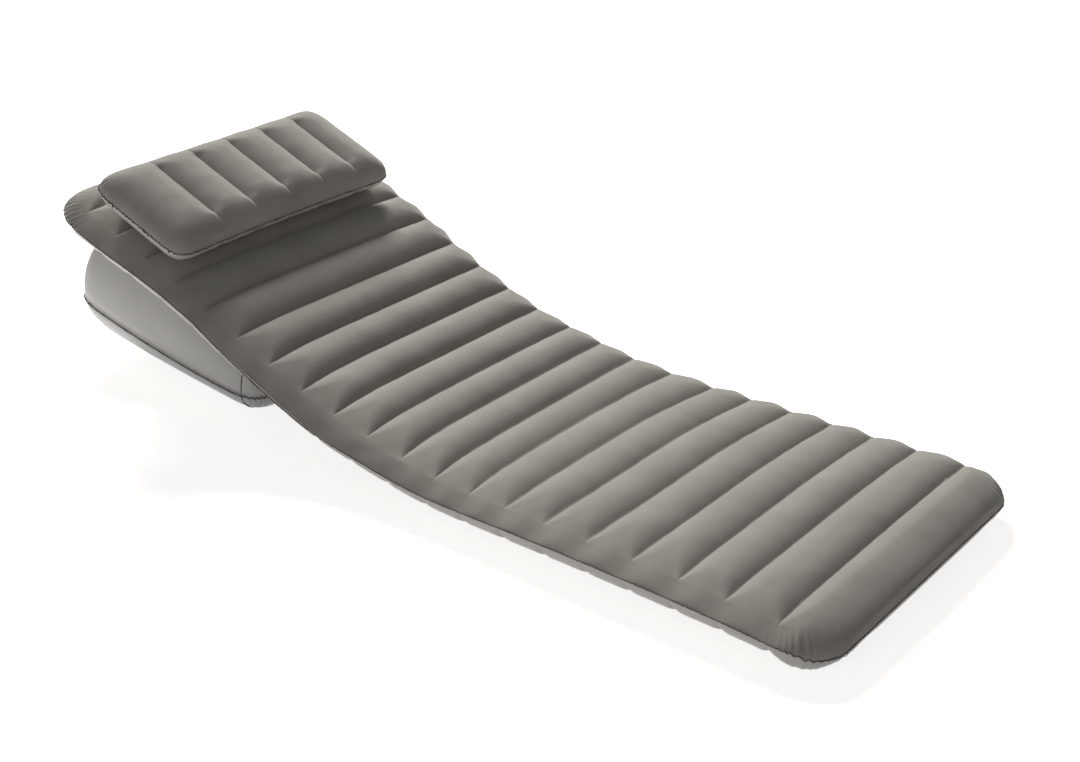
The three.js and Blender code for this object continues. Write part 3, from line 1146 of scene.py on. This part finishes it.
        def onto(u: Array, v: Array, height: Array) -> Array:
            """Bend places of the flat sheet onto the path.

            Args:
                u: Places along the mattress.
                v: Places across it.
                height: Heights above its middle plane.

            Returns:
                The points, one row each.
            """
            x = np.interp(u, self.path_u, self.path_x)
            z = np.interp(u, self.path_u, self.path_z)
            angle = np.interp(u, self.path_u, self.path_angle)
            lift = self.swell(u)
            if side is Side.BOTTOM:
                lift = np.maximum(lift, 0.0)
            up = height + self.web_height / 2 + lift
            return np.stack([x + np.sin(angle) * up, v, z + np.cos(angle) * up], axis=1)

        return onto

    def build(self) -> None:
        """Make the four sheets, the welded seam and the webs inside."""
        split, last = self.split_crease, self.crease_count
        cut = self.creases[split - 1]
        foot_webs, head_webs = range(1, split + 1), range(split + 1, last + 1)
        parts = (
            Part("foot", 0.0, cut, ("seat", "bend"), (0.215, 0.040), ("seat", "bend"), foot_webs),
            Part("head", cut, self.length, ("bend", "back"), (-0.045, -0.235), ("back",), head_webs),
        )
        for part in parts:
            for side, word, finish, slot in self.finishes.sheets():
                u, v, height, shape = self.chamber.sheet(side, part.start, part.end)
                points = self.place(side)(u, v, height)
                seat = self.seat if side is Side.BOTTOM and part.name == "head" else None
                piece = closed_sheet(f"mattress_{word}_{part.name}", points, shape, side, finish, seat)
                self.join(piece)
                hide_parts(*[f"{name}_{word}_sheet" for name in part.nodes])
            self.seam(part)
            self.webs(part)

    def join(self, piece: bpy.types.Object) -> None:
        """Bake a piece's placement into its mesh."""
        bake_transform(piece)

    def seam(self, part: Part) -> None:
        """Make the thin weld that runs round one part: its dark colour is partly the weld's own and partly
        painted shade standing in for the shadow in the seam's fold.

        Args:
            part: The part of the mattress.
        """
        points = self.place(Side.TOP)(*self.chamber.seam_line(part.start, part.end))
        out, up = seam_ways(points, closed=False)
        piece = strip(f"mattress_seam_{part.name}", points, out, up, closed=False, seed=31)
        # The weld's dark colour is partly painted shade of the seam's fold.
        self.finishes.weld.dress(piece)
        self.join(piece)

    def webs(self, part: Part) -> None:
        """Make the webs of one part, each from a bottom crease up to its top crease.

        Args:
            part: The part of the mattress.
        """
        half = self.width / 2 - self.web_margin
        across = np.linspace(-half, half, 25)
        count = len(across)
        points, faces = [], []
        for number in part.webs:
            at = np.full_like(across, self.creases[number - 1])
            low = self.place(Side.BOTTOM)(at, across, np.full_like(across, -self.web_height / 2 + 0.6))
            high = self.place(Side.TOP)(at, across, np.full_like(across, self.web_height / 2 - 0.9))
            first = len(points) * count
            for thickness in (-0.2, 0.2):
                shift = np.array([thickness, 0.0, 0.0])
                points.extend([low + shift, high + shift])
            low_near, high_near, low_far, high_far = range(first, first + 4 * count, count)
            for one, other, turned in (
                (low_near, high_near, True),
                (low_far, high_far, False),
                (low_near, low_far, False),
                (high_near, high_far, True),
            ):
                for step in range(count - 1):
                    face = [one + step, one + step + 1, other + step + 1, other + step]
                    faces.append(face[::-1] if turned else face)
            for step, turned in ((0, True), (count - 1, False)):
                face = [row + step for row in (low_near, low_far, high_far, high_near)]
                faces.append(face[::-1] if turned else face)
        piece = mesh_object(f"mattress_webs_{part.name}", np.concatenate(points), np.array(faces))
        report(piece)
        self.finishes.web.dress(piece)
        self.join(piece)
        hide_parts(*[f"mattress_web_{number:02d}" for number in part.webs])


# Pillow


@dataclass
class Pillow:
    """The air pillow that lies on the back, its channels running up the slope."""

    finishes: Finishes
    length: float = 620.0
    width: float = 269.0
    height: float = 88.0
    rise: float = 16.0
    crown: float = 8.0
    seam_height: float = 2.0
    crease_count: int = 5
    pitch: float = 97.0
    near_margin: float = 128.0
    centre: tuple[float, float, float] = (-639.3, -16.0, 395.5)
    slope: float = 21.8
    yaw: float = 1.0
    seat: Seat = Seat((-772.21, 135.89, 424.58), (-0.9901023, -0.1033916, 0.0949084))

    def __post_init__(self) -> None:
        """Lay out the creases and the chamber."""
        self.chamber = Chamber(
            length=self.length,
            width=self.width,
            waist=7.0,
            reach=76.0,
            tops=self.crowns,
            depth=self.height / 2,
            seams=self.seam_heights,
            top_swell=Swell(
                near=(70.0, 70.0),
                far=(66.0, 66.0),
                foot=76.0,
                head=76.0,
                near_power=2.0,
                far_power=2.0,
                end_power=2.0,
            ),
            bottom_swell=Swell(
                near=(70.0, 70.0),
                far=(70.0, 70.0),
                foot=70.0,
                head=70.0,
                near_power=1.6,
                far_power=1.6,
                end_power=1.6,
            ),
            creases=tuple(self.near_margin + self.pitch * i for i in range(self.crease_count)),
            span=self.pitch,
            rise=self.rise,
            top_creases=Creases(
                level=13.0,
                middle=13.0,
                edge_reach=45.0,
                edge_power=1.6,
                tip=10.0,
                far_tip=6.0,
                fade=38.0,
                start=59.8,
            ),
            bottom_creases=Creases(
                level=13.0,
                middle=13.0,
                edge_reach=60.0,
                edge_power=3.0,
                tip=-60.0,
                far_tip=-60.0,
                fade=10.0,
            ),
            crimp=2.6,
            crimp_length=9.5,
            crimp_reach=12.0,
            side_crimp=0.25,
            end_crimp=(1.0, 0.6),
            corner_powers=(4.2, 3.4, 3.8, 3.4),
            floor=-self.height / 2 + 0.5,
            seed=2.0,
            cell=3.2,
            column=2.6,
            column_mark=10.0,
        )

    def crowns(self, u: Array, v: Array) -> Array:
        """Return how high the crowns stand, highest halfway along, whatever v is."""
        return self.height / 2 + self.crown * (1.0 - (2.0 * u / self.length - 1.0) ** 2)

    def seam_heights(self, u: Array, v: Array) -> Array:
        """Return how high the seam lies, the same at every u and v."""
        return np.full_like(u, self.seam_height)

    def place(self, u: Array, v: Array, height: Array) -> Array:
        """Lay a flat sheet on the slope of the back.

        Args:
            u: Places along the pillow, from its near end.
            v: Places across it.
            height: Heights above its middle plane.

        Returns:
            The points, one row each.
        """
        slope, yaw = math.radians(self.slope), math.radians(self.yaw)
        down = np.array([math.cos(slope), 0.0, -math.sin(slope)])
        side = np.array([0.0, 1.0, 0.0])
        normal = np.array([math.sin(slope), 0.0, math.cos(slope)])
        x, y = -v, u - self.length / 2
        along = x * math.cos(yaw) - y * math.sin(yaw)
        over = x * math.sin(yaw) + y * math.cos(yaw)
        flat = np.array(self.centre) + along[:, None] * down + over[:, None] * side
        return flat + height[:, None] * normal

    def build(self) -> None:
        """Make the two sheets and the welded seam."""
        for side, word, finish, slot in self.finishes.sheets():
            u, v, height, shape = self.chamber.sheet(side, 0.0, self.length)
            points = self.place(u, v, height)
            seat = self.seat if side is Side.BOTTOM else None
            piece = closed_sheet(f"air_pillow_{word}", points, shape, side, finish, seat)
            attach(piece, "pillow")
            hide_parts(f"pillow_{word}_sheet")
        points = self.place(*self.chamber.seam_line(0.0, self.length))
        out, up = seam_ways(points, closed=True)
        piece = strip("air_pillow_seam", points, out, up, closed=True, seed=57, size=1.45, ragged=1.5)
        # The weld's dark colour is partly painted shade of the seam's fold.
        self.finishes.weld.dress(piece)
        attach(piece, "pillow")


# Wedge


@dataclass
class Wedge:
    """The smooth air wedge that holds the back up.

    touch is where its top lies under touch_on_back, a place along the mattress.
    """

    finishes: Finishes
    length: float = 564.0
    width: float = 526.0
    start_x: float = -389.74
    thin_height: float = 147.4
    slope: float = 21.8
    touch: float = 75.0
    touch_on_back: float = 1454.0
    seam_shares: tuple[float, float] = (0.31, 0.38)
    seam_sag: float = 16.0
    joint_place: float = 46.0
    seat: Seat = Seat((-928.23, 110.0, 51.01), (-0.872942, 0.0, -0.4878241))

    def __post_init__(self) -> None:
        """Set out the chamber, whose heights are measured from the floor."""
        self.chamber = Chamber(
            length=self.length,
            width=self.width,
            waist=6.0,
            reach=140.0,
            tops=self.ceiling,
            depth=0.0,
            seams=self.seam_heights,
            top_swell=Swell(
                near=(110.0, 170.0),
                far=(110.0, 170.0),
                foot=110.0,
                head=190.0,
                near_power=2.0,
                far_power=2.0,
                end_power=1.9,
            ),
            bottom_swell=Swell(
                near=(50.0, 195.0),
                far=(50.0, 195.0),
                foot=60.0,
                head=220.0,
                near_power=1.7,
                far_power=1.7,
                end_power=1.5,
            ),
            crimp=2.2,
            crimp_length=10.0,
            crimp_reach=14.0,
            side_crimp=0.05,
            end_crimp=(0.6, 0.8),
            corner_powers=(5.0, 5.0, 5.5, 5.5),
            floor=0.1,
            seed=3.0,
            cell=5.0,
        )

    def seam_heights(self, u: Array, v: Array) -> Array:
        """Work out how high the seam lies, a larger share of the height towards the head.

        Args:
            u: Places along the wedge.
            v: Places across it, which make no difference.

        Returns:
            The heights over the floor.
        """
        share = self.seam_shares[0] + (self.seam_shares[1] - self.seam_shares[0]) * u / self.length
        line = share * (self.thin_height + u * math.tan(math.radians(self.slope)))
        middle = 2.0 * u / self.length - 1.0
        return line - self.seam_sag * (1.0 - middle**2)

    def ceiling(self, u: Array, v: Array) -> Array:
        """Work out how high the top may stand under the back.

        Args:
            u: Places along the wedge.
            v: Places across it, which make no difference.

        Returns:
            The heights over the floor.
        """
        slope = math.radians(self.slope)
        lift = np.maximum(Mattress.swell(self.touch_on_back + (u - self.touch) / math.cos(slope)), 0.0)
        return self.thin_height + u * math.tan(slope) + lift

    def place(self, u: Array, v: Array, height: Array) -> Array:
        """Set the chamber on the floor, its thin end towards the foot."""
        return np.stack([self.start_x - u, v, height], axis=1)

    def build(self) -> None:
        """Make the two sheets, the welded seam and the two upright welds."""
        for side, word in ((Side.TOP, "top"), (Side.BOTTOM, "bottom")):
            u, v, height, shape = self.chamber.sheet(side, 0.0, self.length)
            points = self.place(u, v, height)
            seat = self.seat if side is Side.BOTTOM else None
            # The wedge's sheets take the lighter vinyl, whose extra lightness is partly painted light.
            piece = closed_sheet(f"air_wedge_{word}", points, shape, side, self.finishes.smooth, seat)
            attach(piece, "wedge")
            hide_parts(f"wedge_{word}_sheet")
        points = self.place(*self.chamber.seam_line(0.0, self.length))
        out, up = seam_ways(points, closed=True)
        piece = strip("air_wedge_seam", points, out, up, closed=True, seed=83, size=1.2, ragged=0.9)
        # The weld's dark colour is partly painted shade of the seam's fold.
        self.finishes.weld.dress(piece)
        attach(piece, "wedge")
        for end, name in ((-1.0, "near"), (1.0, "far")):
            self.joint(end, name)

    def joint(self, end: float, name: str) -> None:
        """Make the upright welded joint near the thin end, where the sheet's two ends meet; its dark
        colour is partly painted shade of the fold there.

        Args:
            end: -1 for the near side and 1 for the far side.
            name: Goes into the object's name.
        """
        half = self.width / 2
        runs = []
        for side, deep in ((Side.TOP, 24.0), (Side.BOTTOM, 30.0)):
            across = end * (half - np.linspace(0.0, deep, 34))
            spots = self.chamber.outline(np.full_like(across, self.joint_place), across)
            points = self.place(spots.u, spots.v, self.chamber.heights(side, spots))
            runs.append(points[::-1] if side is Side.TOP else points[1:])
        points = np.concatenate(runs)
        index = np.arange(len(points))
        shares = np.linspace(0.0, len(points) - 1.0, 60)
        points = np.stack([np.interp(shares, index, points[:, k]) for k in range(3)], axis=1)
        points[:, 2] = np.maximum(points[:, 2], 1.5)
        ahead = np.gradient(points, axis=0)
        ahead /= np.linalg.norm(ahead, axis=1)[:, None]
        beside = np.tile([1.0, 0.0, 0.0], (len(points), 1))
        out = np.cross(ahead, beside) * end
        out *= np.sign(out[:, 1:2] * end + 1e-6)
        piece = strip(f"air_wedge_joint_{name}", points, out, beside, closed=False, seed=91)
        # The weld's dark colour is partly painted shade of the fold at the joint.
        self.finishes.weld.dress(piece)
        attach(piece, "wedge")


# Parts kept from the frame


@dataclass
class Fittings:
    """The valves and the webs of pillow and wedge, kept from the frame."""

    finishes: Finishes

    def build(self) -> None:
        """Give each kept node its finish."""
        for name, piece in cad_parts.items():
            if "valve_flap" in name:
                self.finishes.soft.dress(piece)
            elif "valve" in name:
                self.finishes.moulded.dress(piece)
            elif "web" in name:
                self.finishes.web.dress(piece)
            else:
                continue
            report(piece)


# Studio


@dataclass
class Studio:
    """The pale floor, the lamps and the camera."""

    target: tuple[float, float, float] = (0.0221, 0.1313, 0.0718)
    azimuth: float = 38.26
    elevation: float = 25.5
    distance: float = 3.325
    lens: float = 54.83
    floor_glow: float = 0.77
    sky_strength: float = 0.14

    def floor(self) -> None:
        """Lay a wide pale floor that keeps the bed's shadow."""
        for other in bpy.context.selected_objects:
            other.select_set(False)
        bpy.ops.mesh.primitive_plane_add(size=40.0, location=(0.0, 0.0, -0.0005))
        ground = bpy.context.object
        ground.name = "floor"
        made = bpy.data.materials.new("floor")
        tree = cleared(made)
        output = node(tree, "ShaderNodeOutputMaterial")
        matte = node(tree, "ShaderNodeBsdfDiffuse", Color=(0.86, 0.85, 0.83, 1.0))
        glow = node(tree, "ShaderNodeEmission", Color=(1.0, 0.992, 0.975, 1.0))
        rays = node(tree, "ShaderNodeLightPath")
        seen = node(tree, "ShaderNodeMath", operation="MULTIPLY")
        seen.inputs[1].default_value = self.floor_glow
        either = node(tree, "ShaderNodeMath", operation="MAXIMUM")
        tree.links.new(rays.outputs["Is Camera Ray"], either.inputs[0])
        tree.links.new(rays.outputs["Is Glossy Ray"], either.inputs[1])
        tree.links.new(either.outputs[0], seen.inputs[0])
        tree.links.new(seen.outputs[0], glow.inputs["Strength"])
        added = node(tree, "ShaderNodeAddShader")
        tree.links.new(matte.outputs[0], added.inputs[0])
        tree.links.new(glow.outputs[0], added.inputs[1])
        tree.links.new(added.outputs[0], output.inputs["Surface"])
        ground.data.materials.append(made)

    def world(self) -> None:
        """Set an even pale sky, white to the camera."""
        sky = bpy.data.worlds.new("sky")
        bpy.context.scene.world = sky
        tree = cleared(sky)
        output = node(tree, "ShaderNodeOutputWorld")
        dome = node(tree, "ShaderNodeBackground", Color=(1.0, 1.0, 1.0, 1.0), Strength=self.sky_strength)
        white = node(tree, "ShaderNodeBackground", Color=(1.0, 1.0, 1.0, 1.0), Strength=1.0)
        rays = node(tree, "ShaderNodeLightPath")
        mix = node(tree, "ShaderNodeMixShader")
        tree.links.new(rays.outputs["Is Camera Ray"], mix.inputs[0])
        tree.links.new(dome.outputs[0], mix.inputs[1])
        tree.links.new(white.outputs[0], mix.inputs[2])
        tree.links.new(mix.outputs[0], output.inputs["Surface"])

    def lamp(self, name: str, place: tuple[float, float, float], size: float, power: float) -> None:
        """Hang a square lamp that faces the bed.

        Args:
            name: The lamp's name.
            place: Where it hangs, in metres.
            size: The length of its side, in metres.
            power: In watts.
        """
        light = bpy.data.lights.new(name, "AREA")
        light.shape = "SQUARE"
        light.size = size
        light.energy = power
        holder = bpy.data.objects.new(name, light)
        holder.location = place
        facing = Vector((0.0, 0.0, 0.15)) - Vector(place)
        holder.rotation_euler = facing.to_track_quat("-Z", "Y").to_euler()
        bpy.context.scene.collection.objects.link(holder)

    def camera(self) -> None:
        """Stand the camera where the photograph was taken from."""
        turn, lift = math.radians(self.azimuth), math.radians(self.elevation)
        back = Vector((math.sin(turn) * math.cos(lift), -math.cos(turn) * math.cos(lift), math.sin(lift)))
        view = bpy.data.cameras.new("camera")
        view.sensor_width = 36.0
        view.lens = self.lens
        view.dof.use_dof = False
        holder = bpy.data.objects.new("camera", view)
        holder.location = Vector(self.target) + back * self.distance
        holder.rotation_euler = (-back).to_track_quat("-Z", "Y").to_euler()
        bpy.context.scene.collection.objects.link(holder)
        bpy.context.scene.camera = holder

    def build(self) -> None:
        """Set up everything round the bed."""
        bpy.context.scene.view_settings.view_transform = "Standard"
        self.camera()
        self.floor()
        self.world()
        self.lamp("key", (-5.4, 4.3, 5.6), 2.8, 1060.0)
        self.lamp("front", (1.0, -7.5, 2.6), 5.0, 100.0)


def main() -> None:
    """Build the bed in order and note how large it comes out."""
    logging.basicConfig(level=logging.INFO)
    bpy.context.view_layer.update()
    finishes = Finishes()
    Studio().build()
    for assembly in (Mattress(finishes), Pillow(finishes), Wedge(finishes), Fittings(finishes)):
        assembly.build()


if __name__ == "__main__":
    main()
